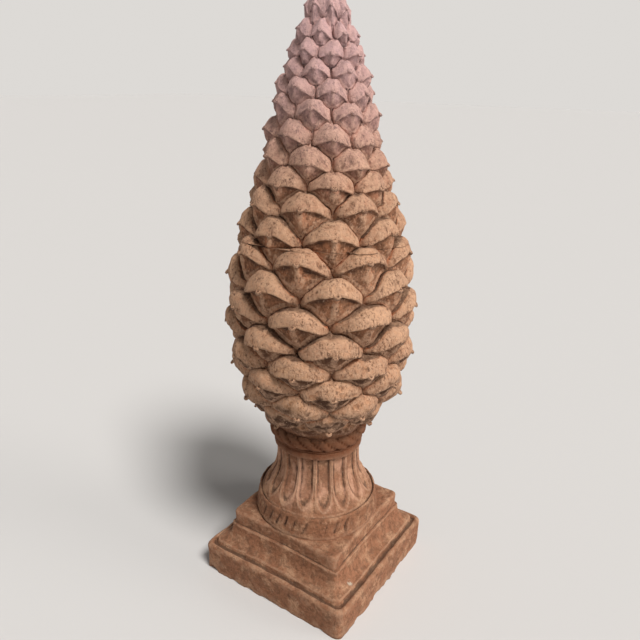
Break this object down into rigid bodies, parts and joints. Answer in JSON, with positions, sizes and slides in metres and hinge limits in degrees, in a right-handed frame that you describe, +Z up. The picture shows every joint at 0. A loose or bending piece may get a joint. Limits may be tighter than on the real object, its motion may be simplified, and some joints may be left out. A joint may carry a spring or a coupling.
{
  "type": "pinecone finial",
  "caption": "Tall garden finial: a pinecone of pointed overlapping scales on a fluted, rope-moulded neck and a stepped square plinth, in weathered fired clay.",
  "frame": {"origin": "middle of the underside of the plinth, on the surface that the finial stands on", "axes": "+Z up along the cone's axis, X and Y square to the plinth's sides, -Y the plinth side seen at the left in the picture and +X the one seen at the right"},
  "size_m": [0.4046, 0.4046, 1.248],
  "materials": {
    "clay_lower": "matt weathered terracotta, dusty on top faces",
    "clay_upper": "matt weathered terracotta, pinkish towards the tip"
  },
  "bodies": {
    "root": {"lower_section": "clay_lower", "upper_section": "clay_upper"}
  },
  "joints": []
}
